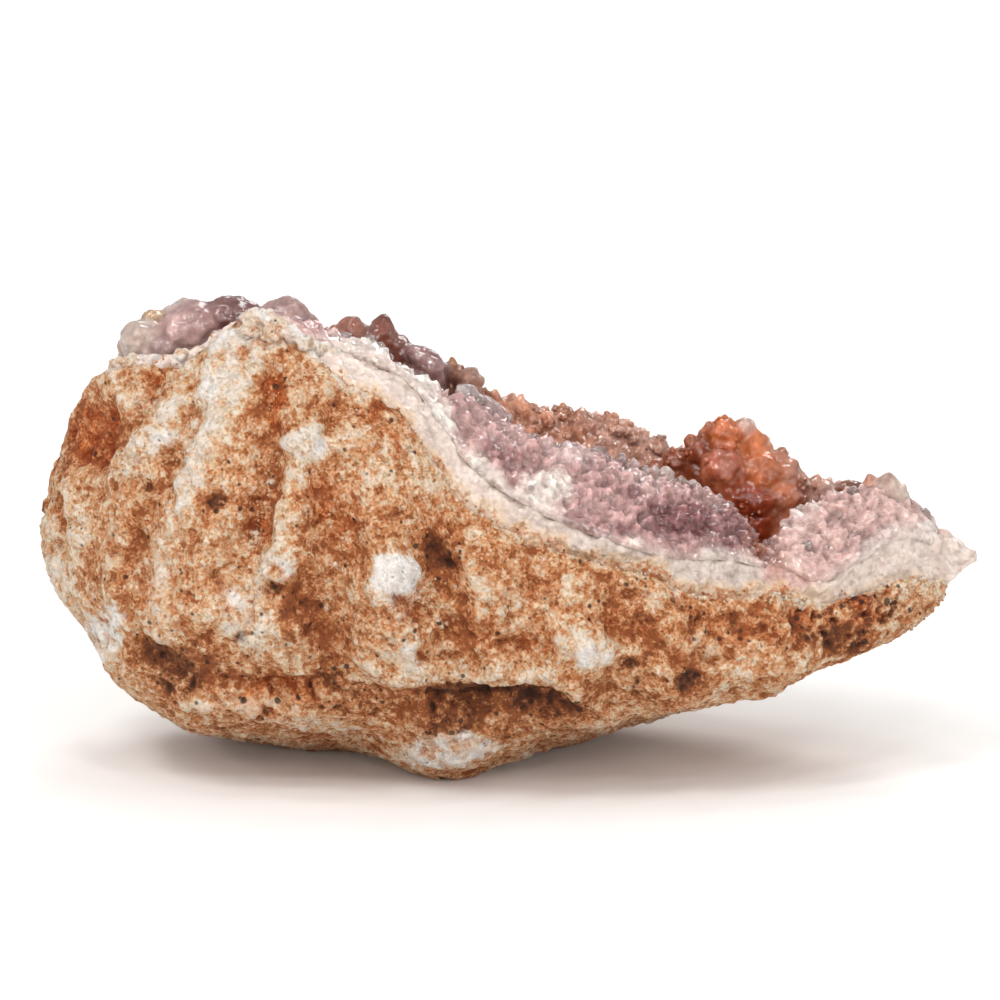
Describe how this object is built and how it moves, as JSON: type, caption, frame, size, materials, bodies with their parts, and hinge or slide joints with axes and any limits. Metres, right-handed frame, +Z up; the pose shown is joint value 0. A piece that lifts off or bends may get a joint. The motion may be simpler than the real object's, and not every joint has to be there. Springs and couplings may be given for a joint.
{
  "type": "amethyst geode",
  "caption": "Broken piece of an amethyst geode: folded tan rock rind, white quartz band, lilac crystal druse in an open hollow and an iron-stained crystal cluster.",
  "frame": {"origin": "on the surface the stone lies on, under the middle of its bounding box", "axes": "+X along the stone to its pointed end, +Y away from the viewer's side, +Z up"},
  "size_m": [0.19, 0.1026, 0.0975],
  "materials": {
    "rind": "weathered, chalky",
    "milky_quartz": "broken, waxy",
    "amethyst": "natural crystal faces",
    "pale_amethyst": "natural crystal faces",
    "smoky_amethyst": "natural crystal faces",
    "stained_quartz": "iron-stained crystal faces"
  },
  "bodies": {
    "root": {"matrix_rind": "rind", "quartz_band": "milky_quartz", "amethyst_druse": "amethyst", "left_amethyst_points": "pale_amethyst", "smoky_points": "smoky_amethyst", "iron_stained_points": "stained_quartz"}
  },
  "joints": []
}
